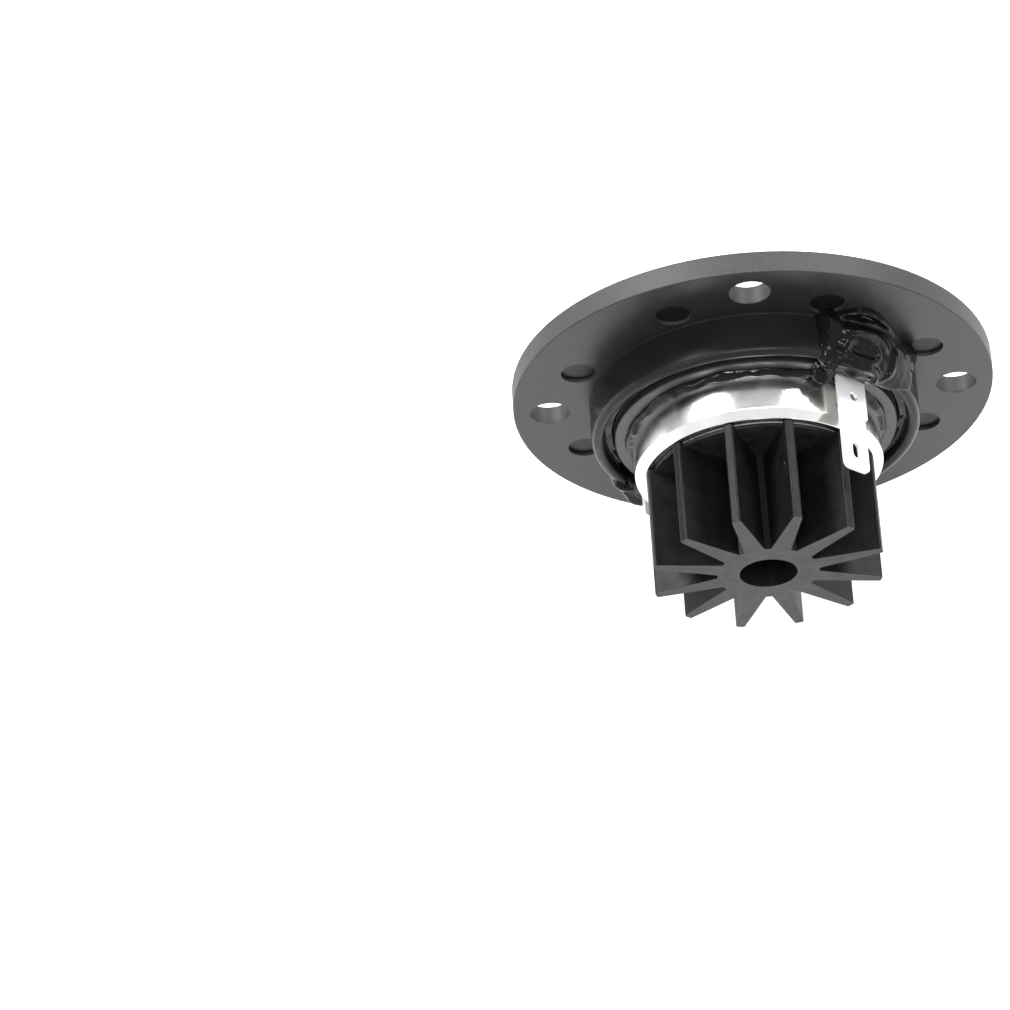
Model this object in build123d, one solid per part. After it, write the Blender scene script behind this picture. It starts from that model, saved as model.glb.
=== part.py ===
"""Soft-dome car tweeter: a round flange with a short horn, a neodymium cup motor and a finned heatsink.

Millimetres. The origin is the centre of the flange's rear face, the face that lies against the panel.
+Y runs back along the axis to the heatsink, the dome faces -Y, and +Z is up.
The four screw holes lie on the X and Z axes. Angles are measured in the XZ plane, from +X towards +Z.
"""
import os
from math import cos, radians, sin, sqrt

from build123d import *

# Flange, horn and collar: one moulding
FLANGE_R = 35.0
FLANGE_T = 3.5
FLANGE_EDGE_ROUND = 0.4
SCREW_COUNT = 4
SCREW_CIRCLE_R = 29.6
SCREW_HOLE_R = 2.95
COUNTERBORE_R = 4.35
COUNTERBORE_DEPTH = 0.8
COUNTERBORE_ROUND = 0.45
RECESS_R = 2.55
RECESS_DEPTH = 0.5
RECESS_CIRCLE_R = 27.2
RECESS_OFFSET_DEG = 23.5
HORN_MOUTH_R = 20.4
HORN_MOUTH_ROUND = 1.2
THROAT_R = 16.7
THROAT_ROUND = 0.3
HORN_DEPTH = 3.0
THROAT_BACK_Y = 0.9
COLLAR_R = 23.85
COLLAR_WALL = 1.75
COLLAR_H = 6.3
COLLAR_ROUND = 0.9

# Moving assembly: dome, former and winding
DOME_R = 14.2
DOME_H = 6.8
DOME_T = 0.25
DOME_BASE_Y = 0.6
COIL_R = 14.0
FORMER_T = 0.1
FORMER_END_Y = 4.3
WINDING_T = 0.3
WINDING_Y = (2.2, 4.2)

# Surround: a ridge at the dome's edge, a groove, a soft roll and a flat seat under the throat
SURROUND_T = 0.25
SURROUND_RIDGE = [(14.25, 0.6), (14.7, 0.35), (14.85, 0.4), (15.1, 0.9)]
SURROUND_ROLL = [(15.35, 0.85), (15.6, 0.4), (15.95, 0.2), (16.3, 0.4)]
SURROUND_SEAT_R = (16.5, 18.2)

# Rings that hold the moving assembly, the terminals and the motor
DIAPHRAGM_RING_R = (16.2, 21.4)
DIAPHRAGM_RING_T = 0.85
MOTOR_RING_R = (18.5, 20.5)
MOTOR_RING_BACK_Y = 6.0
RING_EDGE_CHAMFER = 0.15

# Motor
CUP_R = 17.95
CUP_BORE_R = 14.75
CUP_FLOOR_Y = 8.6
CUP_BACK_Y = 13.1
CUP_CHAMFER = 1.15
CUP_EDGE_ROUND = 0.2
POLE_R = 13.6
POLE_T = 2.5
MAGNET_R = 12.5
PAD_R = 8.0
PAD_T = 1.4

# Heatsink
BOND_T = 0.2
BOND_R = 15.6
HEATSINK_BASE_R = 15.9
HEATSINK_BASE_T = 0.5
HEATSINK_END_Y = 28.9
FIN_COUNT = 12
FIN_TIP_R = 16.8
FIN_TIP_T = 1.3
FIN_ROOT_T = 2.9
FIN_TIP_ROUND = 0.3
HUB_R = 7.3
HUB_BORE_R = 4.15

# Terminals: flat solder lugs that stand in a plane tangent to the motor ring
TERMINAL_ANGLES = {"positive": 132.8, "negative": 320.8}
LUG_PLANE_R = 19.5
LUG_T = 0.5
TAIL_W = 3.0
TAIL_FRONT_Y = 1.25
TAIL_CLEARANCE = 0.05
SHOULDER_SPAN = (-2.35, 2.95)
SHOULDER_BACK_Y = 12.5
SHOULDER_CORNER_R = 0.5
TAB_SPANS = {"positive": (-2.35, 2.35), "negative": (-1.4, 1.4)}
TAB_END_Y = 21.2
TAB_CORNER_R = 1.0
SHOULDER_HOLE_R = 0.7
SHOULDER_HOLE_AT = (0.55, 9.1)
TAB_SLOT = (1.3, 2.5)
TAB_SLOT_Y = 18.0

# Leads, solder and glue
LEAD_R = 0.1
LEAD_BEND_R = 0.3
LEAD_CLEARANCE = 0.01
LEAD_DIP_Y = 0.1
LEAD_BOW_R = 15.6
LEAD_BOW_Y = 0.15
LEAD_SEAT_R = 16.9
LEAD_SINK = 0.02
LEAD_SLOT_W = 1.2
SOLDER_R = 0.42
CUP_GLUE_Y = (4.6, 6.35)
COLLAR_GLUE_BACK_Y = 4.2
GLUE_SPANS = {"positive": (-19.0, 24.0), "negative": (-10.0, 9.0)}
GLUE_INNER_OUTLINE = [(22.0, 0.0), (18.7, 5.0), (18.9, 6.9), (20.8, 7.9)]
GLUE_OUTER_OUTLINE = [(23.2, 7.9), (24.8, 5.2), (25.9, 1.6), (26.3, 0.0)]

# Planes along the axis that follow from the values above
SURROUND_BACK_Y = THROAT_BACK_Y + SURROUND_T
RING_BACK_Y = SURROUND_BACK_Y + DIAPHRAGM_RING_T
POLE_BACK_Y = RING_BACK_Y + POLE_T
HEATSINK_FRONT_Y = CUP_BACK_Y + BOND_T
COLLAR_BORE_R = COLLAR_R - COLLAR_WALL
FORMER_R = COIL_R - FORMER_T


def turned(*points):
    """Solid of revolution about Y from an outline of (radius, y) points."""
    return revolve(make_face(Polyline(*points, close=True)), Axis.Y)


def tube(inner_r, outer_r, front_y, back_y):
    """Ring, or disc where inner_r is 0, between two planes."""
    return turned((inner_r, front_y), (outer_r, front_y), (outer_r, back_y), (inner_r, back_y))


def rod(radius, front_y, back_y, circle_r=0.0, angle=0.0):
    """Cylinder along Y, centred at an angle on a circle round the axis."""
    centre = Pos(circle_r * cos(radians(angle)), (front_y + back_y) / 2, circle_r * sin(radians(angle)))
    return centre * Rot(90, 0, 0) * Cylinder(radius, back_y - front_y)


def edges_at(solid, radius, y, tolerance=0.02):
    """Circular edges about the axis that have one radius and lie in one plane."""
    circles = solid.edges().filter_by(GeomType.CIRCLE)
    return [e for e in circles if abs(e.radius - radius) < tolerance and abs(e.center().Y - y) < tolerance]


def turn_to(angle):
    """Placement that carries the +X direction to an angle in the XZ plane."""
    return Rot(0, -angle, 0)


def face_plate():
    """Flange, horn and rear collar, with counterbored screw holes and shallow rear moulding marks."""
    throat_y = HORN_DEPTH - FLANGE_T
    plate = turned(
        (THROAT_R, THROAT_BACK_Y),
        (THROAT_R, throat_y),
        (HORN_MOUTH_R, -FLANGE_T),
        (FLANGE_R, -FLANGE_T),
        (FLANGE_R, 0.0),
        (COLLAR_R, 0.0),
        (COLLAR_R, COLLAR_H),
        (COLLAR_BORE_R, COLLAR_H),
        (COLLAR_BORE_R, THROAT_BACK_Y),
    )
    plate = fillet(edges_at(plate, COLLAR_R, COLLAR_H), COLLAR_ROUND)
    plate = fillet(edges_at(plate, COLLAR_BORE_R, COLLAR_H), COLLAR_WALL - COLLAR_ROUND - RING_EDGE_CHAMFER)
    plate = fillet(edges_at(plate, FLANGE_R, -FLANGE_T), FLANGE_EDGE_ROUND)
    plate = fillet(edges_at(plate, FLANGE_R, 0.0), FLANGE_EDGE_ROUND / 2)
    plate = fillet(edges_at(plate, HORN_MOUTH_R, -FLANGE_T), HORN_MOUTH_ROUND)
    plate = fillet(edges_at(plate, THROAT_R, throat_y), THROAT_ROUND)
    step = 360 / SCREW_COUNT
    floor_y = COUNTERBORE_DEPTH - FLANGE_T
    for index in range(SCREW_COUNT):
        angle = index * step
        plate -= rod(SCREW_HOLE_R, floor_y - 0.5, 1.0, SCREW_CIRCLE_R, angle)
        plate -= rod(COUNTERBORE_R, -FLANGE_T - 1.0, floor_y, SCREW_CIRCLE_R, angle)
        for side in (-1, 1):
            recess_angle = angle + side * RECESS_OFFSET_DEG
            plate -= rod(RECESS_R, -RECESS_DEPTH, 1.0, RECESS_CIRCLE_R, recess_angle)
    plate = fillet(edges_at(plate, COUNTERBORE_R, -FLANGE_T), COUNTERBORE_ROUND)
    return plate


def dome_outline_y(radius, inset=0.0):
    """Axial place of the dome's front surface at a radius, or of a surface inset from it."""
    ball_r = (DOME_R**2 + DOME_H**2) / (2 * DOME_H)
    ball_y = DOME_BASE_Y - DOME_H + ball_r
    return ball_y - sqrt((ball_r - inset) ** 2 - radius**2)


def dome():
    """Spherical cap of cloth, one wall thick, open at the back."""
    inner_r = DOME_R - DOME_T
    middle_r = DOME_R / 2
    front = ThreePointArc(
        (0, dome_outline_y(0)), (middle_r, dome_outline_y(middle_r)), (DOME_R, DOME_BASE_Y)
    )
    back = ThreePointArc(
        (0, dome_outline_y(0, DOME_T)), (middle_r, dome_outline_y(middle_r, DOME_T)), (inner_r, DOME_BASE_Y)
    )
    rim = Line((DOME_R, DOME_BASE_Y), (inner_r, DOME_BASE_Y))
    axis_side = Line((0, dome_outline_y(0)), (0, dome_outline_y(0, DOME_T)))
    return revolve(make_face([front, rim, back, axis_side]), Axis.Y)


def surround():
    """Thin moulded cloth from the dome's edge to a flat seat clamped under the throat of the horn."""
    seat_start_r, seat_end_r = SURROUND_SEAT_R
    front = [*SURROUND_RIDGE, *SURROUND_ROLL, (seat_start_r, THROAT_BACK_Y), (seat_end_r, THROAT_BACK_Y)]
    back = [(radius, y + SURROUND_T) for radius, y in reversed(front)]
    return turned(*front, *back)


def lug_place(angle, distance, y):
    """Placement at a terminal: local X runs tangentially, local Y along the axis and local Z inwards."""
    return turn_to(angle) * Pos(distance, y, 0) * Rot(0, -90, 0)


def lug_slot(angle, front_y, back_y):
    """Slot that a terminal's tail passes through."""
    width = TAIL_W + 2 * TAIL_CLEARANCE
    thickness = LUG_T + 2 * TAIL_CLEARANCE
    return lug_place(angle, LUG_PLANE_R, (front_y + back_y) / 2) * Box(width, back_y - front_y, thickness)


def diaphragm_ring():
    """Flat ring under the surround's seat, with a slot for each lead and terminal tail."""
    inner_r, outer_r = DIAPHRAGM_RING_R
    ring = tube(inner_r, outer_r, SURROUND_BACK_Y, RING_BACK_Y)
    slot_end_r = LUG_PLANE_R
    middle_y = (SURROUND_BACK_Y + RING_BACK_Y) / 2
    length = slot_end_r - inner_r + 1
    for angle in TERMINAL_ANGLES.values():
        slot_middle = Pos(slot_end_r - length / 2, middle_y, 0)
        ring -= turn_to(angle) * slot_middle * Box(length, DIAPHRAGM_RING_T + 0.2, LEAD_SLOT_W)
        ring -= lug_slot(angle, SURROUND_BACK_Y - 0.1, RING_BACK_Y + 0.1)
    return ring


def motor_ring():
    """Ring round the motor cup that the two terminals stand in."""
    inner_r, outer_r = MOTOR_RING_R
    ring = tube(inner_r, outer_r, RING_BACK_Y, MOTOR_RING_BACK_Y)
    rims = edges_at(ring, outer_r, MOTOR_RING_BACK_Y) + edges_at(ring, inner_r, MOTOR_RING_BACK_Y)
    ring = chamfer(rims, RING_EDGE_CHAMFER)
    for angle in TERMINAL_ANGLES.values():
        ring -= lug_slot(angle, RING_BACK_Y - 0.1, MOTOR_RING_BACK_Y + 0.1)
    return ring


def magnet_cup():
    """Deep steel cup whose front rim is the outer wall of the magnetic gap."""
    cup = turned(
        (0, CUP_FLOOR_Y),
        (CUP_BORE_R, CUP_FLOOR_Y),
        (CUP_BORE_R, RING_BACK_Y),
        (CUP_R, RING_BACK_Y),
        (CUP_R, CUP_BACK_Y - CUP_CHAMFER),
        (CUP_R - CUP_CHAMFER, CUP_BACK_Y),
        (0, CUP_BACK_Y),
    )
    outer_edge = edges_at(cup, CUP_R, CUP_BACK_Y - CUP_CHAMFER)
    back_edge = edges_at(cup, CUP_R - CUP_CHAMFER, CUP_BACK_Y)
    return fillet(outer_edge + back_edge, CUP_EDGE_ROUND)


def heatsink():
    """Extruded star of tapered fins on a hub with a through bore, joined by a thin base disc."""
    step = 360 / FIN_COUNT
    corners = []
    for index in range(FIN_COUNT):
        angle = (index + 0.5) * step
        for radius, half_t in (
            (HUB_R, -FIN_ROOT_T / 2),
            (FIN_TIP_R, -FIN_TIP_T / 2),
            (FIN_TIP_R, FIN_TIP_T / 2),
            (HUB_R, FIN_ROOT_T / 2),
        ):
            along = sqrt(radius**2 - half_t**2)
            corners.append(
                (
                    along * cos(radians(angle)) - half_t * sin(radians(angle)),
                    along * sin(radians(angle)) + half_t * cos(radians(angle)),
                )
            )
    star = make_face(Polyline(*corners, close=True))
    tips = [v for v in star.vertices() if Vector(v.X, v.Y, 0).length > HUB_R + 1]
    star = fillet(tips, FIN_TIP_ROUND)
    length = HEATSINK_END_Y - HEATSINK_FRONT_Y
    fins = Pos(0, HEATSINK_END_Y, 0) * Rot(90, 0, 0) * extrude(star, length)
    base = tube(0.0, HEATSINK_BASE_R, HEATSINK_FRONT_Y, HEATSINK_FRONT_Y + HEATSINK_BASE_T)
    bore = rod(HUB_BORE_R, HEATSINK_FRONT_Y - 1, HEATSINK_END_Y + 1)
    return fins + base - bore


def plate(span, front_y, back_y, corner_r):
    """Flat rounded rectangle of a lug, between two edges across it and two along the axis."""
    left, right = span
    centre = Pos((left + right) / 2, (front_y + back_y) / 2)
    return centre * RectangleRounded(right - left, back_y - front_y, corner_r)


def terminal(side):
    """Flat solder lug: a tail in the ring, a shoulder with a round hole, and a slotted tab."""
    tail_back_y = MOTOR_RING_BACK_Y + SHOULDER_CORNER_R
    face = Pos(0, (TAIL_FRONT_Y + tail_back_y) / 2) * Rectangle(TAIL_W, tail_back_y - TAIL_FRONT_Y)
    face += plate(SHOULDER_SPAN, MOTOR_RING_BACK_Y, SHOULDER_BACK_Y, SHOULDER_CORNER_R)
    face += plate(TAB_SPANS[side], SHOULDER_BACK_Y - 2 * TAB_CORNER_R, TAB_END_Y, TAB_CORNER_R)
    face -= Pos(*SHOULDER_HOLE_AT) * Circle(SHOULDER_HOLE_R)
    slot_w, slot_l = TAB_SLOT
    face -= Pos(0, TAB_SLOT_Y) * Rot(0, 0, 90) * SlotOverall(slot_l, slot_w)
    strip = extrude(face, LUG_T / 2, both=True)
    return lug_place(TERMINAL_ANGLES[side], LUG_PLANE_R, 0) * strip


def solder(angle):
    """Bead that joins a lead to the inner face of a terminal's tail."""
    inner_face_r = LUG_PLANE_R - LUG_T / 2
    middle_y = (SURROUND_BACK_Y + RING_BACK_Y) / 2
    half = Pos(inner_face_r - SOLDER_R / 2, middle_y, 0) * Box(SOLDER_R, 2 * SOLDER_R, 2 * SOLDER_R)
    return turn_to(angle) * (Pos(inner_face_r, middle_y, 0) * Sphere(SOLDER_R) & half)


def lead(angle):
    """Fine wire from the front of the winding, out through a slot in the ring to the solder."""
    start_r = COIL_R + LEAD_R + LEAD_CLEARANCE
    middle_y = (SURROUND_BACK_Y + RING_BACK_Y) / 2
    end_r = LUG_PLANE_R - LUG_T / 2 - SOLDER_R + LEAD_SINK
    route = FilletPolyline(
        (start_r, WINDING_Y[0], 0),
        (start_r, middle_y - LEAD_DIP_Y, 0),
        (LEAD_BOW_R, middle_y + LEAD_BOW_Y, 0),
        (LEAD_SEAT_R, middle_y, 0),
        (end_r, middle_y, 0),
        radius=LEAD_BEND_R,
    )
    section = Plane(route @ 0, z_dir=route % 0) * Circle(LEAD_R)
    return turn_to(angle) * sweep(section, route)


def sector(shape, angle, span):
    """The part of a ring-shaped solid that lies between two angles either side of a direction."""
    reach = 60.0
    turns = [radians(turn) for turn in (span[0], 0.0, span[1])]
    corners = [(reach * cos(turn), reach * sin(turn)) for turn in turns]
    wedge = extrude(make_face(Polyline((0, 0), *corners, close=True)), reach, both=True)
    return shape & (turn_to(angle) * Rot(90, 0, 0) * wedge)


def glue_mound(side, neighbours):
    """Mound of glue over the collar and ring at a terminal, hugging whatever it covers."""
    mound = sector(turned(*GLUE_INNER_OUTLINE, *GLUE_OUTER_OUTLINE), TERMINAL_ANGLES[side], GLUE_SPANS[side])
    for neighbour in neighbours:
        mound -= neighbour
    return max(mound.solids(), key=lambda solid: solid.volume)


def build():
    """Every sub-part by name."""
    parts = {
        "face_plate": face_plate(),
        "diaphragm_ring": diaphragm_ring(),
        "dome": dome(),
        "surround": surround(),
        "coil_former": tube(FORMER_R, COIL_R, DOME_BASE_Y, FORMER_END_Y),
        "voice_coil": tube(COIL_R, COIL_R + WINDING_T, *WINDING_Y),
        "motor_ring": motor_ring(),
        "magnet_cup": magnet_cup(),
        "magnet": tube(0.0, MAGNET_R, POLE_BACK_Y, CUP_FLOOR_Y),
        "pole_plate": tube(0.0, POLE_R, RING_BACK_Y, POLE_BACK_Y),
        "damping_pad": tube(0.0, PAD_R, RING_BACK_Y - PAD_T, RING_BACK_Y),
        "heatsink_bond": tube(HUB_BORE_R, BOND_R, CUP_BACK_Y, HEATSINK_FRONT_Y),
        "heatsink": heatsink(),
        "cup_glue_ring": tube(CUP_R, MOTOR_RING_R[0], *CUP_GLUE_Y),
        "collar_glue_ring": tube(MOTOR_RING_R[1], COLLAR_BORE_R, RING_BACK_Y, COLLAR_GLUE_BACK_Y),
    }
    for side, angle in TERMINAL_ANGLES.items():
        parts[f"{side}_terminal"] = terminal(side)
        parts[f"{side}_solder"] = solder(angle)
        parts[f"{side}_lead"] = lead(angle) - parts[f"{side}_solder"]
    for side in TERMINAL_ANGLES:
        covered = ["face_plate", "motor_ring", "collar_glue_ring", "cup_glue_ring", f"{side}_terminal"]
        neighbours = [parts[name] for name in covered]
        parts[f"{side}_glue"] = glue_mound(side, neighbours)
    return parts


def main():
    os.makedirs("parts", exist_ok=True)
    for name, shape in build().items():
        export_step(shape, f"parts/{name}.step")


main()
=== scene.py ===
"""Looks for the soft-dome car tweeter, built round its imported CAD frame.

Metres, in the CAD's frame: the origin is the centre of the flange's rear face, +Y runs back along the axis
to the heatsink, the dome faces -Y and +Z is up. Sizes named in millimetres are multiplied by MM.
Angles are measured in the XZ plane, from +X towards +Z.
"""

from math import asin, atan2, cos, degrees, pi, radians, sin

import bmesh
import bpy
import numpy as np
from mathutils import Matrix, Vector, noise


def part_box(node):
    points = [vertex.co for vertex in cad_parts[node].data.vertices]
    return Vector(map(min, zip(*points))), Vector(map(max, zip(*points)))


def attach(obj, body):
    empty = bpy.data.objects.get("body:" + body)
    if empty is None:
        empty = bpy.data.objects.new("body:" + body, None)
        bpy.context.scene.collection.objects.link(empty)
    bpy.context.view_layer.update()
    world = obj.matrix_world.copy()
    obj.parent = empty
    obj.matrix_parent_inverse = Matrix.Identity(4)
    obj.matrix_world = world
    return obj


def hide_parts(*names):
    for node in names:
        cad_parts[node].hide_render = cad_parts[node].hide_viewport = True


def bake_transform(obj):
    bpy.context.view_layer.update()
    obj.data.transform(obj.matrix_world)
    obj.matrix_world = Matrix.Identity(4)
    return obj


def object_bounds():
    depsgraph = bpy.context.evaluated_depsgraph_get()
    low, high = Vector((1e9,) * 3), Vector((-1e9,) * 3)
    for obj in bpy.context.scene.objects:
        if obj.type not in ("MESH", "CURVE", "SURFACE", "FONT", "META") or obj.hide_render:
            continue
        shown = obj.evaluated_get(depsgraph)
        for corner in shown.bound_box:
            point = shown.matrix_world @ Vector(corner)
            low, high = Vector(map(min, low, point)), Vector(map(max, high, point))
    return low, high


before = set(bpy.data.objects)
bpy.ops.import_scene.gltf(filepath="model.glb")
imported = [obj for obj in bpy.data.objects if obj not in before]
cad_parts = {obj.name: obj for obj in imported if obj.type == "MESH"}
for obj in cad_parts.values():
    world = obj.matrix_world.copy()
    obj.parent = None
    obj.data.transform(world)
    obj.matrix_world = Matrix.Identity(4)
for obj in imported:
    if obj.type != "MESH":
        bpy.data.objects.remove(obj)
cad_low, cad_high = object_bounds()

MM = 0.001
SIDES = ("positive", "negative")

# Camera: behind the flange and above it, looking down on the motor
LENS_MM = 162.4
SENSOR_MM = 36.0
CAMERA_AZIMUTH = 183.67
CAMERA_ELEVATION = 61.27
CAMERA_ROLL = -7.54
CAMERA_DISTANCE = 663.5 * MM
CAMERA_RIGHT = -36.1 * MM
CAMERA_UP = -15.6 * MM

# Stage: the floor's glow as the camera sees it, and its glow in reflections only, a painted reflection, from
# one X to another
FLOOR_SIDE = 6.0
FLOOR_GLOW = 0.7
FLOOR_PAINTED_REFLECTION = (-40 * MM, 40 * MM, 0.75, 0.36)

# World: what the camera sees, its light from the horizon up, and the share left of it in front of the dome
WORLD_SEEN = 1.0
WORLD_TINT = (1.0, 0.97, 1.045, 1.0)
SKY_LIGHT = 0.85
HORIZON_LIGHT = 1.0
FRONT_SHARE = 0.16
FRONT_EDGE = (-0.8, -0.35)

# Lamps: name, azimuth, elevation, then distance, width and height in metres, and watts
LAMPS = (
    ("overhead_left", 214, 74, 1.1, 0.2, 0.3, 2.4),
    ("overhead_right", 146, 74, 1.1, 0.2, 0.3, 2.4),
    ("front_left", -46, 40, 1.0, 0.24, 0.34, 8.5),
    ("front_right", 50, 42, 1.0, 0.24, 0.34, 14.0),
    ("rear_left", 232, 34, 1.0, 0.12, 0.3, 1.2),
    ("rear_right", 132, 36, 1.0, 0.12, 0.3, 1.6),
    ("spark_left", 205, 62, 1.1, 0.05, 0.05, 0.8),
    ("spark_right", 160, 66, 1.1, 0.05, 0.05, 0.8),
)

# Range that a noise texture mostly stays in
NOISE_RANGE = (0.3, 0.7)

# Thickness of the coated cloth and of the lead wires
CLOTH_T = 0.25 * MM
WIRE_R = 0.1 * MM

# Lathe resolution
TURN_STEPS = 360


# ---------------------------------------------------------------- camera, stage and light


def direction(azimuth, elevation):
    """Unit vector from the object towards a viewer; azimuth 0 stands in front of the dome."""
    a, e = radians(azimuth), radians(elevation)
    return Vector((sin(a) * cos(e), -cos(a) * cos(e), sin(e)))


def make_camera():
    """Camera behind and above the motor, placed from the flange's centre."""
    back = direction(CAMERA_AZIMUTH, CAMERA_ELEVATION)
    level = Vector((0, 0, 1)).cross(back).normalized()
    upright = back.cross(level)
    roll = radians(CAMERA_ROLL)
    right = level * cos(roll) + upright * sin(roll)
    up = back.cross(right)
    place = back * CAMERA_DISTANCE + right * CAMERA_RIGHT + up * CAMERA_UP
    data = bpy.data.cameras.new("camera")
    data.lens = LENS_MM
    data.sensor_width = SENSOR_MM
    data.clip_start = 0.01
    data.clip_end = 50.0
    camera = bpy.data.objects.new("camera", data)
    camera.matrix_world = Matrix.Translation(place) @ Matrix((right, up, back)).transposed().to_4x4()
    bpy.context.scene.collection.objects.link(camera)
    bpy.context.scene.camera = camera


def soft_box(name, azimuth, elevation, distance, width, height, watts):
    """Rectangular lamp that faces the object."""
    data = bpy.data.lights.new(name, "AREA")
    data.shape = "RECTANGLE"
    data.size = width
    data.size_y = height
    data.energy = watts
    lamp = bpy.data.objects.new(name, data)
    back = direction(azimuth, elevation)
    lamp.location = back * distance
    lamp.rotation_mode = "QUATERNION"
    lamp.rotation_quaternion = back.to_track_quat("Z", "Y")
    bpy.context.scene.collection.objects.link(lamp)


def make_lights():
    """Pairs of lamps overhead, in front and behind, and two small ones for glints on the glue."""
    for lamp in LAMPS:
        soft_box(*lamp)


def make_world():
    """White surround for the camera; graded for light and reflections, and dim in front of the dome."""
    world = bpy.data.worlds.new("studio")
    bpy.context.scene.world = world
    world.use_nodes = True
    tree = world.node_tree
    tree.nodes.clear()
    place = add(tree, "ShaderNodeTexCoord").outputs["Generated"]
    light = spread(tree, axis_value(tree, place, "Z"), 0.0, 0.9, HORIZON_LIGHT, SKY_LIGHT)
    in_front = spread(tree, axis_value(tree, place, "Y"), *FRONT_EDGE, FRONT_SHARE, 1.0)
    light = calc(tree, "MULTIPLY", light, in_front)
    shown = add(tree, "ShaderNodeLightPath").outputs["Is Camera Ray"]
    strength = blend_values(tree, shown, light, WORLD_SEEN)
    colour = blend_colours(tree, shown, WORLD_TINT, (1, 1, 1, 1))
    glow = add(tree, "ShaderNodeBackground", {"Color": colour, "Strength": strength})
    out = add(tree, "ShaderNodeOutputWorld")
    tree.links.new(glow.outputs[0], out.inputs[0])


def make_floor():
    """Plain pale floor under the flange's rim, with a painted reflection: a glow seen only in reflections,
    dimmer towards +X.
    """
    half = FLOOR_SIDE / 2
    mesh = bpy.data.meshes.new("floor")
    corners = [(-half, -half, 0), (half, -half, 0), (half, half, 0), (-half, half, 0)]
    mesh.from_pydata(corners, [], [(0, 1, 2, 3)])
    floor = bpy.data.objects.new("floor", mesh)
    floor.location.z = cad_low.z
    bpy.context.scene.collection.objects.link(floor)
    material, tree, shader = new_material("floor_white")
    texture = clouds(tree, object_place(tree), 0.05, 3)
    tone = vary(tree, texture, 0.6, 0.62)
    tree.links.new(grey(tree, tone), shader.inputs["Base Color"])
    shader.inputs["Roughness"].default_value = 0.9
    shader.inputs["Emission Color"].default_value = (1, 1, 1, 1)
    path = add(tree, "ShaderNodeLightPath")
    across = axis_value(tree, object_place(tree), "X")
    # Painted reflection: a glow that only reflected rays see, brighter at -X than at +X, lighting the
    # flange's rear face in its reflection.
    painted_reflection = calc(tree, "MULTIPLY", path.outputs["Is Glossy Ray"], spread(tree, across, *FLOOR_PAINTED_REFLECTION))
    direct = calc(tree, "MULTIPLY", path.outputs["Is Camera Ray"], FLOOR_GLOW)
    tree.links.new(calc(tree, "ADD", direct, painted_reflection), shader.inputs["Emission Strength"])
    mesh.materials.append(material)


# ---------------------------------------------------------------- material nodes


def add(tree, kind, inputs=None, **settings):
    """New node; an input's value is a number, a colour or another node's socket."""
    node = tree.nodes.new(kind)
    for key, value in settings.items():
        setattr(node, key, value)
    for key, value in (inputs or {}).items():
        if isinstance(value, bpy.types.NodeSocket):
            tree.links.new(value, node.inputs[key])
        else:
            node.inputs[key].default_value = value
    return node


def new_material(name):
    """(material, its node tree, its Principled shader)."""
    material = bpy.data.materials.new(name)
    material.use_nodes = True
    tree = material.node_tree
    return material, tree, tree.nodes["Principled BSDF"]


def object_place(tree):
    """Point on the surface, in metres in the row frame."""
    return add(tree, "ShaderNodeTexCoord").outputs["Object"]


def stretched(tree, place, x, y, z):
    """Place with each axis scaled, for grain that runs one way."""
    return add(tree, "ShaderNodeMapping", {"Vector": place, "Scale": (x, y, z)}).outputs[0]


def clouds(tree, place, size, detail=2, rough=0.5):
    """Noise whose features are about size metres across, 0 to 1."""
    inputs = {"Vector": place, "Scale": 1 / size, "Detail": detail, "Roughness": rough}
    return add(tree, "ShaderNodeTexNoise", inputs).outputs["Fac"]


def calc(tree, operation, first, second=0.0):
    """One arithmetic node."""
    return add(tree, "ShaderNodeMath", {0: first, 1: second}, operation=operation).outputs[0]


def spread(tree, value, low, high, to_low, to_high):
    """Value carried from low..high to to_low..to_high and held at the ends."""
    inputs = {"Value": value, "From Min": low, "From Max": high, "To Min": to_low, "To Max": to_high}
    return add(tree, "ShaderNodeMapRange", inputs).outputs["Result"]


def vary(tree, texture, low, high):
    """Low to high as a noise texture runs through its usual range."""
    return spread(tree, texture, *NOISE_RANGE, low, high)


def blend_values(tree, share, first, second):
    """First where share is 0 and second where it is 1, for numbers."""
    return add(tree, "ShaderNodeMix", {"Factor": share, 2: first, 3: second}, data_type="FLOAT").outputs[0]


def blend_colours(tree, share, first, second):
    """First where share is 0 and second where it is 1, for colours."""
    return add(tree, "ShaderNodeMix", {"Factor": share, 6: first, 7: second}, data_type="RGBA").outputs[2]


def grey(tree, value):
    """Neutral colour of a value."""
    return add(tree, "ShaderNodeCombineColor", {0: value, 1: value, 2: value}).outputs[0]


def tint(tree, value, red, green, blue):
    """Colour with each channel a share of a value."""
    channels = {i: calc(tree, "MULTIPLY", value, share) for i, share in enumerate((red, green, blue))}
    return add(tree, "ShaderNodeCombineColor", channels).outputs[0]


def bump(tree, height, depth, strength=1.0, base=None):
    """Surface relief of a depth in metres, on top of another one if base is given."""
    inputs = {"Height": height, "Distance": depth, "Strength": strength}
    if base is not None:
        inputs["Normal"] = base
    return add(tree, "ShaderNodeBump", inputs).outputs[0]


def axis_value(tree, vector, axis):
    """One coordinate of a vector."""
    return add(tree, "ShaderNodeSeparateXYZ", {0: vector}).outputs[axis]


def from_axis(tree, place):
    """(distance from the tweeter's axis, place along it), in metres."""
    split = add(tree, "ShaderNodeSeparateXYZ", {0: place})
    flat = add(tree, "ShaderNodeCombineXYZ", {0: split.outputs[0], 2: split.outputs[2]}).outputs[0]
    radius = add(tree, "ShaderNodeVectorMath", {0: flat}, operation="LENGTH").outputs["Value"]
    return radius, split.outputs[1]


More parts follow.
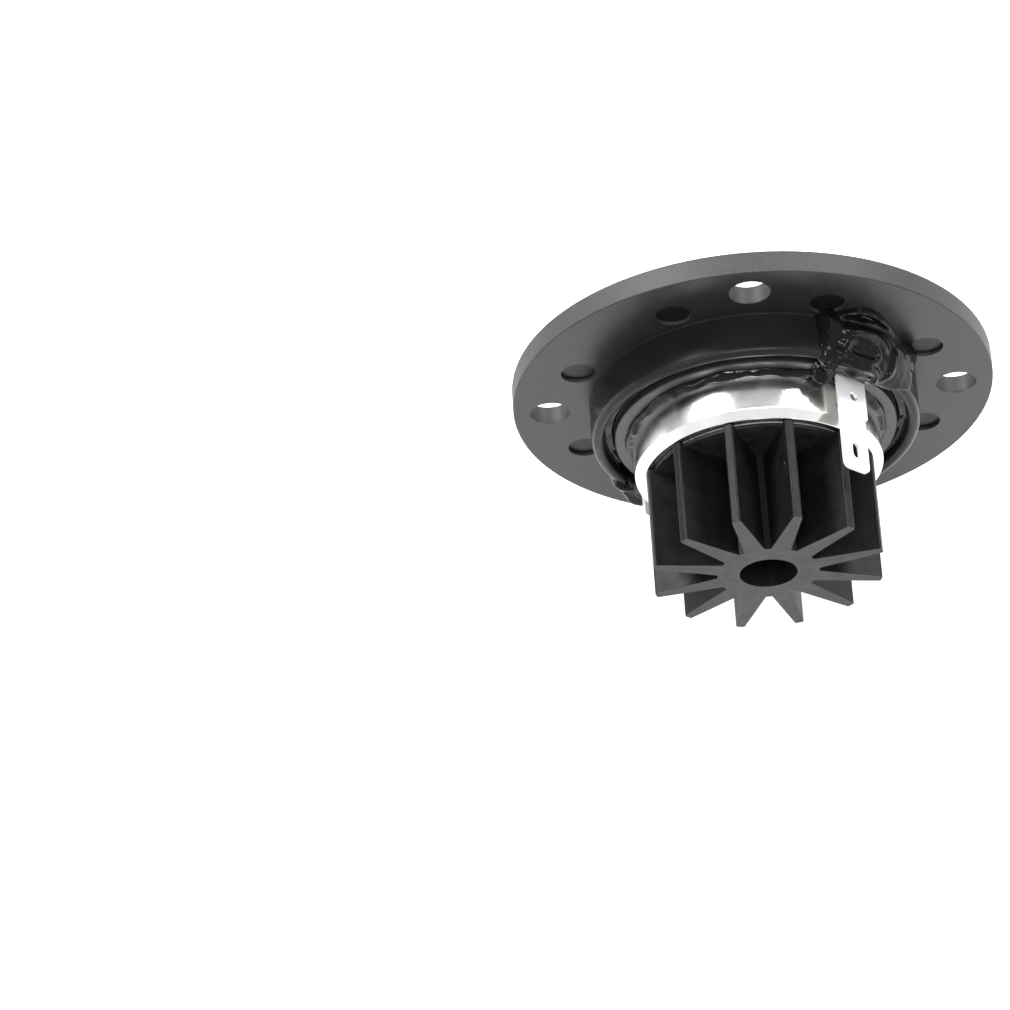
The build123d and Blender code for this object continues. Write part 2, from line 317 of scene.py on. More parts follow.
def specks(tree, place, spacing, size, share):
    """1 on small scattered dust specks and 0 elsewhere."""
    cells = add(tree, "ShaderNodeTexVoronoi", {"Vector": place, "Scale": 1 / spacing})
    near = calc(tree, "LESS_THAN", cells.outputs["Distance"], size / spacing)
    chosen = add(tree, "ShaderNodeSeparateColor", {0: cells.outputs["Color"]}).outputs[0]
    return calc(tree, "MULTIPLY", near, calc(tree, "LESS_THAN", chosen, share))


def dress(material, *nodes):
    """Gives CAD nodes their finish through their own material slots."""
    for name in nodes:
        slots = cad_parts[name].material_slots
        if not slots:
            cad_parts[name].data.materials.append(material)
        for slot in slots:
            slot.material = material


# ---------------------------------------------------------------- materials


def face_plastic():
    """Moulded black plastic: spark-eroded grain in front, smoother behind and darker there, partly as painted
    shade; darkest, as painted shade, on the floors of the blind recesses.
    """
    material, tree, shader = new_material("face_plastic")
    place = object_place(tree)
    facing = axis_value(tree, add(tree, "ShaderNodeNewGeometry").outputs["Normal"], "Y")
    behind = spread(tree, facing, 0.3, 0.6, 0.0, 1.0)
    on_collar = spread(tree, axis_value(tree, place, "Y"), 0.0, 0.2 * MM, 0.0, 1.0)
    smooth = calc(tree, "MAXIMUM", behind, on_collar)
    grain = clouds(tree, place, 0.28 * MM, 4, 0.7)
    swirl = clouds(tree, place, 9 * MM, 3)
    handled = clouds(tree, place, 2.5 * MM, 4, 0.6)
    grain_tone = vary(tree, grain, 0.008, 0.032)
    tone = calc(tree, "ADD", grain_tone, vary(tree, swirl, 0, 0.006))
    # The smooth rear face takes a darker tone than the grained front: partly its smoother finish, partly
    # painted shade.
    tone = blend_values(tree, smooth, tone, vary(tree, handled, 0.008, 0.013))
    tone = blend_values(tree, on_collar, tone, 0.007)
    # Painted shade: the floors of the blind recesses in the rear face get a darker tone and less shine.
    sunk = calc(tree, "LESS_THAN", axis_value(tree, place, "Y"), -0.3 * MM)
    painted_recess_shade = calc(tree, "MULTIPLY", behind, sunk)
    tone = blend_values(tree, painted_recess_shade, tone, 0.004)
    dust = specks(tree, place, 4.5 * MM, 0.09 * MM, 0.22)
    colour = blend_colours(tree, dust, tint(tree, tone, 1.0, 0.985, 1.04), (0.42, 0.42, 0.42, 1))
    rough_front = vary(tree, grain, 0.5, 0.66)
    rough_back = vary(tree, handled, 0.3, 0.36)
    tree.links.new(colour, shader.inputs["Base Color"])
    tree.links.new(blend_values(tree, smooth, rough_front, rough_back), shader.inputs["Roughness"])
    shine = blend_values(tree, behind, 0.5, 0.42)
    # Less shine on the collar; on the recess floors the lower shine is part of the painted shade.
    shine = blend_values(tree, calc(tree, "MAXIMUM", on_collar, painted_recess_shade), shine, 0.2)
    tree.links.new(shine, shader.inputs["Specular IOR Level"])
    relief = blend_values(tree, smooth, 0.9, 0.015)
    tree.links.new(bump(tree, grain, 0.05 * MM, relief), shader.inputs["Normal"])
    dress(material, "face_plate")


def ring_plastic():
    """Satin moulded rings with faint turning marks round the axis."""
    material, tree, shader = new_material("ring_plastic")
    place = object_place(tree)
    radius, _ = from_axis(tree, place)
    turned = add(tree, "ShaderNodeTexNoise", {"W": radius, "Scale": 9000.0}, noise_dimensions="1D")
    grooves = turned.outputs["Fac"]
    grain = clouds(tree, place, 0.4 * MM, 3)
    tone = vary(tree, grain, 0.016, 0.026)
    tree.links.new(tint(tree, tone, 1.0, 0.99, 1.03), shader.inputs["Base Color"])
    tree.links.new(vary(tree, grain, 0.3, 0.42), shader.inputs["Roughness"])
    tree.links.new(bump(tree, grooves, 0.01 * MM, 0.3), shader.inputs["Normal"])
    dress(material, "diaphragm_ring", "motor_ring")


def cloth(name, pitch, relief, rough_low, rough_high, tone_low, tone_high):
    """Coated weave: two sets of threads along X and Z, half filled by a rubbery dope."""
    material, tree, shader = new_material(name)
    place = object_place(tree)
    uneven = clouds(tree, place, 1.1 * MM, 4, 0.6)
    drift = calc(tree, "MULTIPLY", calc(tree, "SUBTRACT", uneven, 0.5), 1.2)
    threads = []
    for axis in ("X", "Z"):
        phase = calc(tree, "MULTIPLY", axis_value(tree, place, axis), 2 * pi / pitch)
        threads.append(calc(tree, "SINE", calc(tree, "ADD", phase, drift)))
    weave = calc(tree, "MULTIPLY", threads[0], threads[1])
    height = calc(tree, "ADD", calc(tree, "MULTIPLY", weave, 0.16), uneven)
    fine = clouds(tree, place, 0.22 * MM, 3, 0.7)
    height = calc(tree, "ADD", height, calc(tree, "MULTIPLY", fine, 0.8))
    tone = vary(tree, uneven, tone_low, tone_high)
    tree.links.new(tint(tree, tone, 1.0, 1.0, 1.03), shader.inputs["Base Color"])
    tree.links.new(spread(tree, height, 0.4, 1.4, rough_low, rough_high), shader.inputs["Roughness"])
    shader.inputs["Specular IOR Level"].default_value = 0.95
    tree.links.new(bump(tree, height, relief, 0.8), shader.inputs["Normal"])
    return material


def plated(name, base, rough_low, rough_high, streak=0.012, warmth=1.0, metal=1.0):
    """Bright plated steel with faint drawing streaks and slightly dull patches."""
    material, tree, shader = new_material(name)
    place = object_place(tree)
    patches = clouds(tree, place, 3 * MM, 4, 0.6)
    drawn = clouds(tree, stretched(tree, place, 1, 0.06, 1), 0.15 * MM, 2)
    tone = vary(tree, patches, base - 0.06, base)
    tree.links.new(tint(tree, tone, 1.0, 1.0, warmth), shader.inputs["Base Color"])
    shader.inputs["Metallic"].default_value = metal
    tree.links.new(vary(tree, patches, rough_low, rough_high), shader.inputs["Roughness"])
    tree.links.new(bump(tree, drawn, streak * MM, 0.3), shader.inputs["Normal"])
    return material


def heatsink_anodised():
    """Black anodised extrusion: die lines along the fins and saw marks across the end."""
    material, tree, shader = new_material("heatsink_anodised")
    place = object_place(tree)
    facing = axis_value(tree, add(tree, "ShaderNodeNewGeometry").outputs["Normal"], "Y")
    cut = spread(tree, facing, 0.6, 0.9, 0.0, 1.0)
    lines = clouds(tree, stretched(tree, place, 1, 0.012, 1), 0.22 * MM, 3, 0.6)
    saw = clouds(tree, stretched(tree, place, 0.03, 1, 1), 0.14 * MM, 3, 0.6)
    patches = clouds(tree, place, 2.2 * MM, 4, 0.6)
    height = blend_values(tree, cut, lines, saw)
    tone = calc(tree, "ADD", vary(tree, patches, 0.003, 0.006), vary(tree, height, 0, 0.003))
    # The sawn end is paler: partly its own sawn finish, partly painted light standing in for the floor it
    # reflects.
    paler_cut_with_painted_light = calc(tree, "MULTIPLY", cut, spread(tree, patches, 0.35, 0.65, 0.003, 0.016))
    tone = calc(tree, "ADD", tone, paler_cut_with_painted_light)
    dust = specks(tree, place, 3.5 * MM, 0.09 * MM, 0.2)
    colour = blend_colours(tree, dust, tint(tree, tone, 1.0, 0.97, 1.05), (0.5, 0.5, 0.5, 1))
    tree.links.new(colour, shader.inputs["Base Color"])
    tree.links.new(blend_values(tree, cut, 0.13, 0.2), shader.inputs["Specular IOR Level"])
    rough = blend_values(tree, cut, vary(tree, patches, 0.4, 0.52), 0.36)
    tree.links.new(rough, shader.inputs["Roughness"])
    tree.links.new(bump(tree, height, 0.02 * MM, 0.5), shader.inputs["Normal"])
    dress(material, "heatsink")


def glue_black():
    """Glossy black glue with soft ripples."""
    material, tree, shader = new_material("glue_black")
    place = object_place(tree)
    ripple = clouds(tree, place, 0.9 * MM, 3, 0.5)
    tone = vary(tree, ripple, 0.002, 0.005)
    tree.links.new(tint(tree, tone, 1.0, 1.0, 1.1), shader.inputs["Base Color"])
    tree.links.new(vary(tree, ripple, 0.04, 0.1), shader.inputs["Roughness"])
    shader.inputs["Specular IOR Level"].default_value = 0.17
    tree.links.new(bump(tree, ripple, 0.02 * MM, 0.2), shader.inputs["Normal"])
    return material


def felt_wool():
    """Grey felt with tangled fibres."""
    material, tree, shader = new_material("felt_wool")
    place = object_place(tree)
    fibres = clouds(tree, stretched(tree, place, 1, 0.4, 0.5), 0.2 * MM, 5, 0.8)
    tone = vary(tree, fibres, 0.1, 0.3)
    tree.links.new(tint(tree, tone, 1.0, 0.98, 0.95), shader.inputs["Base Color"])
    shader.inputs["Roughness"].default_value = 0.95
    shader.inputs["Sheen Weight"].default_value = 0.4
    tree.links.new(bump(tree, fibres, 0.2 * MM, 0.9), shader.inputs["Normal"])
    return material


def thermal_bond():
    """Pale grey filled adhesive, squeezed thin."""
    material, tree, shader = new_material("thermal_bond")
    grain = clouds(tree, object_place(tree), 0.3 * MM, 4, 0.7)
    tree.links.new(grey(tree, vary(tree, grain, 0.25, 0.4)), shader.inputs["Base Color"])
    tree.links.new(vary(tree, grain, 0.5, 0.7), shader.inputs["Roughness"])
    tree.links.new(bump(tree, grain, 0.05 * MM, 0.5), shader.inputs["Normal"])
    dress(material, "heatsink_bond")


def copper_wire(name, red, green, blue):
    """Enamelled wire: metal seen through a thin glossy coat."""
    material, tree, shader = new_material(name)
    place = object_place(tree)
    patches = clouds(tree, place, 0.6 * MM, 3)
    tone = vary(tree, patches, 0.8, 1.0)
    tree.links.new(tint(tree, tone, red, green, blue), shader.inputs["Base Color"])
    shader.inputs["Metallic"].default_value = 1.0
    tree.links.new(vary(tree, patches, 0.18, 0.32), shader.inputs["Roughness"])
    shader.inputs["Coat Weight"].default_value = 0.6
    return material


# ---------------------------------------------------------------- meshes


def new_piece(name, vertices, faces, material, slot, *stood_for, smooth=True):
    """Mesh object with one material that stands for CAD nodes."""
    mesh = bpy.data.meshes.new(name)
    mesh.from_pydata([tuple(v) for v in vertices], [], faces)
    mesh.validate()
    return finish_piece(name, mesh, material, slot, *stood_for, smooth=smooth)


def finish_piece(name, mesh, material, slot, *stood_for, smooth=True):
    """Object from a mesh, with its finish, its outward faces and what it replaces."""
    shape = bmesh.new()
    shape.from_mesh(mesh)
    bmesh.ops.recalc_face_normals(shape, faces=shape.faces)
    shape.to_mesh(mesh)
    shape.free()
    mesh.materials.clear()
    mesh.materials.append(material)
    mesh.polygons.foreach_set("use_smooth", [smooth] * len(mesh.polygons))
    piece = bpy.data.objects.new(name, mesh)
    bpy.context.scene.collection.objects.link(piece)
    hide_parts(*stood_for)
    return piece


def polar(angle, radius, y):
    """Point at an angle in degrees, a distance from the axis and a place along it."""
    return Vector((radius * cos(radians(angle)), y, radius * sin(radians(angle))))


def ring_mesh(loop_at, steps=TURN_STEPS):
    """(vertices, faces) of a closed ring; loop_at(angle in degrees) gives its section's (radius, y) loop."""
    vertices, faces = [], []
    for step in range(steps):
        angle = 360 * step / steps
        loop = loop_at(angle)
        vertices += [polar(angle, radius, y) for radius, y in loop]
    count = len(loop)
    for step in range(steps):
        here, there = step * count, (step + 1) % steps * count
        for j in range(count):
            k = (j + 1) % count
            faces.append((here + j, here + k, there + k, there + j))
    return vertices, faces


def smooth_line(points, per_span=6):
    """Catmull-Rom curve through the points, as a list of points."""
    stops = [np.array(p, float) for p in points]
    ends = [2 * stops[0] - stops[1], *stops, 2 * stops[-1] - stops[-2]]
    line = []
    for i in range(1, len(ends) - 2):
        a, b, c, d = ends[i - 1 : i + 3]
        for t in np.linspace(0, 1, per_span, endpoint=False):
            square = (2 * a - 5 * b + 4 * c - d) * t**2
            cube = (3 * b - a - 3 * c + d) * t**3
            line.append(0.5 * (2 * b + (c - a) * t + square + cube))
    line.append(stops[-1])
    return line


def wave(angle, seed, scale=1.0):
    """Smooth unevenness round a ring, about -1 to 1, the same each run."""
    a = radians(angle)
    return noise.noise(Vector((cos(a) * scale * 3, sin(a) * scale * 3, seed)))


def offset_loop(front, thickness):
    """Closed (radius, y) loop from a front line and the same line moved back along the axis."""
    back = [(radius, y + thickness) for radius, y in reversed(front)]
    return [*[(p[0], p[1]) for p in front], *back]


# ---------------------------------------------------------------- dome, surround and coil


def make_dome(material):
    """Thin cap of coated cloth, faintly uneven as pressed cloth is, open at the back."""
    low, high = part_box("dome")
    edge_r = high.x
    height = high.y - low.y
    dent, dents_per_metre = 0.035 * MM, 260
    ball_r = (edge_r**2 + height**2) / (2 * height)
    ball_y = low.y + ball_r
    reach = asin(edge_r / ball_r)
    rings, steps = 64, 240
    vertices, faces = [], []
    for inset in (0.0, CLOTH_T):
        start = len(vertices)
        vertices.append(Vector((0, ball_y - ball_r + inset, 0)))
        for ring in range(1, rings + 1):
            tilt = reach * ring / rings
            for step in range(steps):
                angle = 360 * step / steps
                radius = ball_r - inset
                place = polar(angle, radius * sin(tilt), ball_y - radius * cos(tilt))
                fade = 1 - (ring / rings) ** 4
                place.y += dent * fade * noise.noise(place * dents_per_metre)
                vertices.append(place)
        for step in range(steps):
            after = (step + 1) % steps
            faces.append((start, start + 1 + step, start + 1 + after))
            for ring in range(rings - 1):
                inner = start + 1 + ring * steps
                outer = inner + steps
                faces.append((inner + step, outer + step, outer + after, inner + after))
    half = len(vertices) // 2
    rim = half - steps
    for step in range(steps):
        after = (step + 1) % steps
        faces.append((rim + step, rim + after, rim + half + after, rim + half + step))
    dome = new_piece("dome_cloth", vertices, faces, material, "dome_cloth", "dome")
    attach(dome, "diaphragm")


def share_of_dome(piece):
    """Bakes a piece's placement into its mesh and reads its points' places."""
    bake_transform(piece)
    places = np.zeros(len(piece.data.vertices) * 3)
    piece.data.vertices.foreach_get("co", places)
    places = places.reshape(-1, 3)


def make_surround(material):
    """Moulded ridge, groove, soft roll and flat seat, in one thin skin."""
    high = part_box("surround")[1]
    seat_y = high.y - CLOTH_T
    # Millimetres in from the outer edge and forward of the seat
    shape = (
        (-3.95, -0.3),
        (-3.5, -0.55),
        (-3.3, -0.5),
        (-3.1, -0.02),
        (-2.85, -0.05),
        (-2.6, -0.5),
        (-2.25, -0.7),
        (-1.9, -0.5),
        (-1.7, 0.0),
    )
    front = smooth_line([(high.x + r * MM, seat_y + y * MM) for r, y in shape], 8)
    front.append(np.array((high.x, seat_y)))
    loop = offset_loop(front, CLOTH_T)

    def loop_at(angle):
        return [(r, y + 0.01 * MM * wave(angle, r * 900, 4)) for r, y in loop]

    surround = new_piece("surround_cloth", *ring_mesh(loop_at), material, "surround_cloth", "surround")
    share_of_dome(surround)


def make_coil(wire, foil):
    """Two-layer winding with each turn showing, on its foil former."""
    low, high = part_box("voice_coil")
    turns = 14
    pitch = (high.y - low.y) / turns
    inner_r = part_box("coil_former")[1].x
    outside = []
    for turn in range(turns):
        middle = low.y + (turn + 0.5) * pitch
        for part in range(-2, 3):
            lift = pitch / 2 * cos(radians(part * 40))
            outside.append((high.x - pitch / 2 + lift, middle + pitch / 2 * sin(radians(part * 40))))
    loop = [(inner_r, low.y), *outside, (inner_r, high.y)]
    mesh = ring_mesh(lambda angle: loop, 180)
    coil = new_piece("voice_coil_turns", *mesh, wire, "winding_copper", "voice_coil")
    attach(coil, "diaphragm")
    dress(foil, "coil_former")


def make_lead(side, material):
    """Fine wire from the winding to the solder bead, curved so that it can flex."""
    low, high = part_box(f"{side}_solder")
    middle = (low + high) / 2
    angle = degrees(atan2(middle.z, middle.x))
    coil_low, coil_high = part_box("voice_coil")
    start_r = coil_high.x - WIRE_R
    end_r = Vector((middle.x, middle.z)).length
    y = middle.y
    stops = [
        polar(angle, start_r, coil_low.y + WIRE_R),
        polar(angle, start_r + 0.1 * MM, coil_low.y - 0.35 * MM),
        polar(angle, start_r + (end_r - start_r) * 0.3, y + 0.05 * MM),
        polar(angle, start_r + (end_r - start_r) * 0.6, y),
        polar(angle, end_r, y),
    ]
    line = smooth_line(stops, 10)
    tangent_side = Vector((-sin(radians(angle)), 0, cos(radians(angle))))
    vertices, faces, sides = [], [], 10
    for i, point in enumerate(line):
        along = Vector(line[min(i + 1, len(line) - 1)] - line[max(i - 1, 0)]).normalized()
        across = along.cross(tangent_side)
        for j in range(sides):
            turn = 2 * pi * j / sides
            vertices.append(Vector(point) + (tangent_side * cos(turn) + across * sin(turn)) * WIRE_R)
    for i in range(len(line) - 1):
        for j in range(sides):
            k = (j + 1) % sides
            faces.append((i * sides + j, i * sides + k, (i + 1) * sides + k, (i + 1) * sides + j))
    faces.append(tuple(range(sides)))
    faces.append(tuple(range((len(line) - 1) * sides, len(line) * sides)))
    wire = new_piece(f"{side}_lead_wire", vertices, faces, material, "lead_wire", f"{side}_lead")
    share_of_dome(wire)


def make_pad(material):
    """Felt disc with a soft edge behind the dome, fuzzy all over."""
    low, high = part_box("damping_pad")
    # Shares of the radius and of the thickness
    shape = (
        (0.02, 0.0),
        (0.7, 0.0),
        (0.93, 0.05),
        (1.0, 0.35),
        (0.99, 0.75),
        (0.95, 1.0),
        (0.5, 1.0),
        (0.02, 1.0),
    )
    loop = smooth_line([(high.x * r, low.y + (high.y - low.y) * y) for r, y in shape], 8)
    fuzz = 0.05 * MM
    glued_y = high.y - 0.2 * MM

    def loop_at(angle):
        return [(r, y + fuzz * wave(angle, (r + y) * 1500, 6) * (y < glued_y)) for r, y in loop]

    pad = new_piece("damping_felt", *ring_mesh(loop_at, 180), material, "felt", "damping_pad")
    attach(pad, "chassis")


# ---------------------------------------------------------------- glue

# The base of a mound, in millimetres from the axis and along it: flange, over the collar and ring, to the cup
GLUE_BASE = (
    (29.0, -0.25),
    (27.4, -0.1),
    (26.3, 0.7),
    (25.7, 2.6),
    (25.0, 4.8),
    (24.0, 6.7),
    (22.4, 7.2),
    (20.9, 6.6),
    (19.6, 6.2),
    (18.4, 6.0),
    (17.7, 5.2),
)
# How far its underside lies below the skin, and how far into the flange that may go
GLUE_SUNK = 3.0
GLUE_FOOT_Y = -1.2
# Points round the axis and along the base, and passes of smoothing
GLUE_GRID = (300, 200)
GLUE_PASSES = 18


def string(radius, *stops):
    """String of glue through (angle, distance from the axis, y) stops, as a list of balls (place, radius).
    All are in millimetres; the string has one radius, or one for each stop."""
    radii = radius if isinstance(radius, tuple) else (radius,) * len(stops)
    line = smooth_line([(*polar(*stop), size) for stop, size in zip(stops, radii)], 10)
    balls, last = [], None
    for x, y, z, size in line:
        if last is None or np.linalg.norm((x, y, z) - last) > size * 0.2:
            last = np.array((x, y, z))
            balls.append((last, size))
    return balls


def soften(heights, passes):
    """Heights evened out a little between neighbours, so that lumps run into each other."""
    for _ in range(passes):
        for axis in (0, 1):
            before, after = np.roll(heights, 1, axis), np.roll(heights, -1, axis)
            heights = heights * 0.5 + (before + after) * 0.25
    return heights


def lift_over(places, normals, heights, strings):
    """Heights of a skin over its base, raised wherever a ball of a string stands proud of it."""
    for centre, size in strings:
        offset = centre - places
        out = np.einsum("ijk,ijk->ij", offset, normals)
        aside = np.einsum("ijk,ijk->ij", offset, offset) - out**2
        reach = size**2 - aside
        raised = out + np.sqrt(np.maximum(reach, 0))
        heights = np.where(reach > 0, np.maximum(heights, raised), heights)
    return heights


def closed_sheet_faces(across, along):
    """Faces of two stacked grids of points, the second under the first, joined round their edge."""
    faces = []
    layer = across * along
    for i in range(across - 1):
        for j in range(along - 1):
            a, b = i * along + j, (i + 1) * along + j
            faces.append((a, a + 1, b + 1, b))
            faces.append((a + layer, b + layer, b + 1 + layer, a + 1 + layer))
    edge = [i * along for i in range(across)]
    edge += [(across - 1) * along + j for j in range(1, along)]
    edge += [i * along + along - 1 for i in range(across - 2, -1, -1)]
    edge += list(range(along - 2, 0, -1))
    for here, there in zip(edge, edge[1:] + edge[:1]):
        faces.append((here, there, there + layer, here + layer))
    return faces


def glue_skin(name, span, fade, short, strings, material, slot_node):
    """Mound of glue between two angles: a smooth base raised wherever a string of glue lies on it.
    Inside the collar it stops short of the second angle."""
    across, along = GLUE_GRID
    base = np.array(smooth_line(GLUE_BASE, along // (len(GLUE_BASE) - 1)))
    along = len(base)
    slope = np.gradient(base, axis=0)
    facing = np.stack([slope[:, 1], -slope[:, 0]], 1)
    facing /= np.linalg.norm(facing, axis=1)[:, None]
    angles = np.linspace(*span, across)
    turn = np.radians(angles)
    spokes = np.stack([np.cos(turn), np.zeros(across), np.sin(turn)], 1)
    back = np.array((0.0, 1.0, 0.0))
    places = base[None, :, :1] * spokes[:, None, :] + base[None, :, 1:] * back
    normals = facing[None, :, :1] * spokes[:, None, :] + facing[None, :, 1:] * back
    run = np.linspace(0, 1, along)
    end = span[1] - short * np.clip((run - 0.5) / 0.2, 0, 1)
    inside = np.minimum(angles[:, None] - span[0], end[None, :] - angles[:, None])
    waver = np.array([[1.2 * noise.noise(Vector(p) * 0.45) for p in row] for row in places])
    held = np.clip((inside + waver - 1.0) / fade, 0, 1)
    held = held * np.clip((run[None, :] - 0.16 + 0.03 * waver) / 0.08, 0, 1)
    heights = (held**0.5 - 1) * GLUE_SUNK
    heights = soften(lift_over(places, normals, heights, strings), GLUE_PASSES)
    ripple = np.array([[0.06 * noise.noise(Vector(p) * 0.9) for p in row] for row in places])
    skin = places + normals * (heights + ripple)[:, :, None]
    sunk = places - normals * (GLUE_SUNK + 0.5)
    vertices = np.concatenate([skin.reshape(-1, 3), sunk.reshape(-1, 3)])
    vertices[:, 1] = np.maximum(vertices[:, 1], GLUE_FOOT_Y)
    vertices *= MM
    piece = new_piece(name, vertices, closed_sheet_faces(across, along), material, "glue", slot_node)
    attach(piece, "chassis")


def positive_glue(material):
    """Large mound: ridges over the collar, a sunk block by the lug's root, strings and a bulging blob."""
    strings = [
        # apron on the flange and the ridge round its edge
        *string((1.0, 1.4, 1.8, 1.8, 1.4, 1.0), (118, 24.0, 0.2), (121, 25.2, -0.4), (126, 26.2, -0.8),
                (132, 25.9, -0.8), (140, 24.9, -0.4), (148, 24.2, -0.2)),
        *string((0.35, 0.4, 0.5, 0.6, 0.55, 0.45, 0.45, 0.45), (114.5, 24.0, 1.3), (118, 25.0, 0.9),
                (121.5, 26.8, 0.6), (126, 28.0, 0.4), (132, 27.5, 0.5), (140, 26.1, 0.7), (148, 25.3, 0.8),
                (155, 24.4, 0.9)),
        # ridges stacked up the collar
        *string((0.45, 0.5, 0.55, 0.65, 0.55, 0.45), (115, 24.3, 3.4), (119, 25.1, 2.9), (123, 26.1, 2.9),
                (128.5, 26.4, 2.8), (134, 26.0, 2.9), (138, 25.4, 3.4)),
        *string((0.35, 0.35, 0.3), (116.5, 24.6, 4.4), (120.5, 25.4, 4.0), (124, 25.6, 3.8)),
        # rim of the sunk block, and the bar and tongue beside it
        *string(0.32, (122.3, 25.1, 5.7), (122.3, 25.5, 4.6), (124.5, 25.7, 4.0), (131, 25.7, 4.0),
                (134.4, 25.5, 4.6), (134.6, 25.1, 5.7), (131.5, 24.9, 6.2), (125, 24.9, 6.2),
                (122.3, 25.1, 5.7)),
        *string((0.45, 0.5, 0.6, 0.6, 0.5, 0.4), (119.5, 23.6, 7.1), (123.5, 23.9, 7.3), (129, 24.0, 7.3),
                (134, 24.0, 7.0), (137.5, 23.4, 7.1), (139, 22.3, 7.4)),
        *string((0.45, 0.7, 0.45), (126.5, 22.0, 7.0), (129.5, 22.0, 7.1), (133, 21.8, 6.9)),
        *string((0.3, 0.3, 0.3), (123, 20.4, 6.3), (130, 20.4, 6.4), (139, 20.7, 6.3)),
        # blobs at the left of the lug's root, over the edge of the ring
        *string((0.9, 1.15, 0.8), (117.5, 18.9, 6.4), (120.5, 18.7, 6.7), (123, 19.2, 6.4)),
        *string((0.45, 0.6, 0.5), (115, 22.6, 6.2), (117.5, 21.3, 6.4), (121, 20.2, 6.4)),
        *string((0.4, 0.55, 0.45), (113.8, 23.9, 5.2), (117, 24.4, 5.6), (121, 24.5, 6.0)),
        # strings at the right edge, hugging the collar's wall
        *string((0.45, 0.5, 0.55, 0.45, 0.4), (154, 24.1, 0.9), (154, 24.1, 2.6), (152, 24.1, 4.6),
                (148.5, 24.0, 6.1), (145, 22.9, 6.9)),
        *string((0.5, 0.7, 0.6, 0.45), (141, 25.2, 2.4), (142.5, 25.0, 4.2), (142.5, 24.3, 6.0),
                (141, 23.0, 7.0)),
        *string((0.45, 0.6, 0.4), (148.5, 24.5, 1.8), (148, 24.5, 3.6), (146, 24.1, 5.4)),
        *string((0.3, 0.35, 0.25), (151, 23.3, 6.4), (148, 22.4, 6.5), (145, 21.3, 6.3)),
    ]
    glue_skin("positive_glue_mound", (111.0, 160.0), 4.0, 13.0, strings, material, "positive_glue")


def negative_glue(material):
    """Smaller mound at the other lug."""
    strings = [
        *string((0.5, 0.7, 0.7, 0.5), (313.5, 24.6, 2.0), (317, 25.6, 2.6), (322, 25.6, 2.4),
                (326, 24.6, 2.2)),
        *string((0.5, 0.7, 0.5), (314, 23.6, 6.9), (320, 24.0, 7.1), (326, 23.5, 6.9)),
        *string((0.6, 0.8, 0.6), (315, 21.0, 7.0), (321, 21.2, 7.4), (327, 20.8, 7.0)),
        *string((0.5, 0.7, 0.5), (316, 18.9, 6.4), (314, 19.1, 6.5), (311, 19.4, 6.3)),
    ]
    glue_skin("negative_glue_mound", (306.0, 335.0), 4.0, 4.0, strings, material, "negative_glue")


def make_cup_bead(material):
    """Uneven bead that fills the corner between the motor ring and the cup."""
    overlap = 0.15 * MM
    low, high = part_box("cup_glue_ring")
    cup_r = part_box("magnet_cup")[1].x
    ring_r = high.x
    ring_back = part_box("motor_ring")[1].y

    def loop_at(angle):
        climb = (0.8 + 0.55 * wave(angle, 3.1, 1.6) + 0.2 * wave(angle, 7.7, 4)) * MM
        creep = (0.5 + 0.35 * wave(angle, 1.3, 1.8) + 0.1 * wave(angle, 9.2, 4)) * MM
        bulge = (0.2 + 0.12 * wave(angle, 5.9, 2.5)) * MM
        foot = (ring_r + max(creep, 0.05 * MM), ring_back + 0.005 * MM)
        top = (cup_r + 0.01 * MM, ring_back + max(climb, 0.2 * MM))
        under = (foot[0] - 0.1 * MM, ring_back - 0.1 * MM)
        loop = [(cup_r - overlap, low.y), (ring_r, low.y), under, foot]
        for part in range(1, 8):
            t = part / 8
            swell = sin(pi * t) * bulge
            radius = foot[0] + (top[0] - foot[0]) * t + swell * 0.7
            loop.append((radius, foot[1] + (top[1] - foot[1]) * t + swell))
        return [*loop, top, (cup_r - overlap, top[1])]

    bead = new_piece("cup_glue_bead", *ring_mesh(loop_at, 720), material, "glue", "cup_glue_ring")
    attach(bead, "chassis")


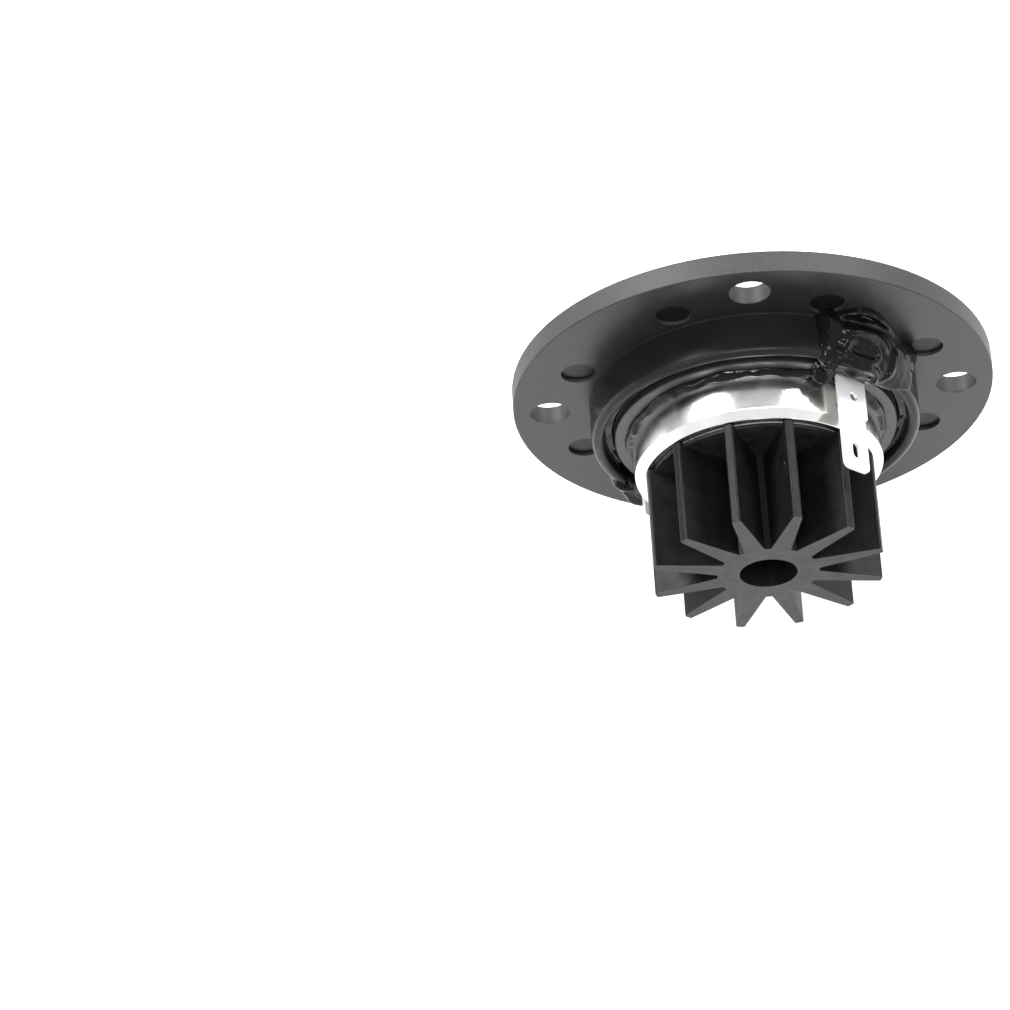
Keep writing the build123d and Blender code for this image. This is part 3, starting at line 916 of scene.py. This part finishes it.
def make_collar_pool(material):
    """Pool of glue in the groove between the collar and the motor ring, with a dished, wavy top."""
    low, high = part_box("collar_glue_ring")
    overlap = 0.1 * MM
    inner_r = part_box("motor_ring")[1].x - overlap
    outer_r = high.x + overlap

    def loop_at(angle):
        loop = [(inner_r, low.y), (outer_r, low.y)]
        for part in range(11):
            t = part / 10
            dish = (2 * t - 1) ** 4 * 0.5 * MM
            lift = (0.18 * wave(angle, 2.4, 2.0) + 0.06 * wave(angle, 8.8 + t, 4)) * MM
            loop.append((outer_r + (inner_r - outer_r) * t, high.y + dish + lift))
        return loop

    pool = new_piece("collar_glue_pool", *ring_mesh(loop_at, 540), material, "glue", "collar_glue_ring")
    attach(pool, "chassis")


# ---------------------------------------------------------------- the scene

bpy.context.scene.view_settings.view_transform = "Standard"
make_camera()
make_lights()
make_world()
make_floor()

face_plastic()
ring_plastic()
heatsink_anodised()
thermal_bond()
dress(plated("cup_plating", 0.92, 0.16, 0.26, 0.012, 0.95), "magnet_cup")
dress(plated("magnet_plating", 0.75, 0.15, 0.25), "magnet")
dress(plated("pole_steel", 0.6, 0.25, 0.4, 0.03), "pole_plate")
terminal_plating = plated("terminal_plating", 0.97, 0.34, 0.46, 0.006, 0.99, 0.5)
dress(terminal_plating, *[f"{side_name}_terminal" for side_name in SIDES])
dress(plated("solder", 0.8, 0.12, 0.3, 0.02), *[f"{side_name}_solder" for side_name in SIDES])

make_dome(cloth("dome_cloth", 0.42 * MM, 0.12 * MM, 0.24, 0.42, 0.003, 0.01))
make_surround(cloth("surround_cloth", 0.42 * MM, 0.03 * MM, 0.16, 0.28, 0.004, 0.01))
make_coil(copper_wire("winding_copper", 0.85, 0.38, 0.2), plated("former_foil", 0.85, 0.3, 0.45))
make_pad(felt_wool())
lead_wire = copper_wire("lead_wire", 0.8, 0.45, 0.28)
for side_name in SIDES:
    make_lead(side_name, lead_wire)

glue = glue_black()
make_cup_bead(glue)
make_collar_pool(glue)
positive_glue(glue)
negative_glue(glue)
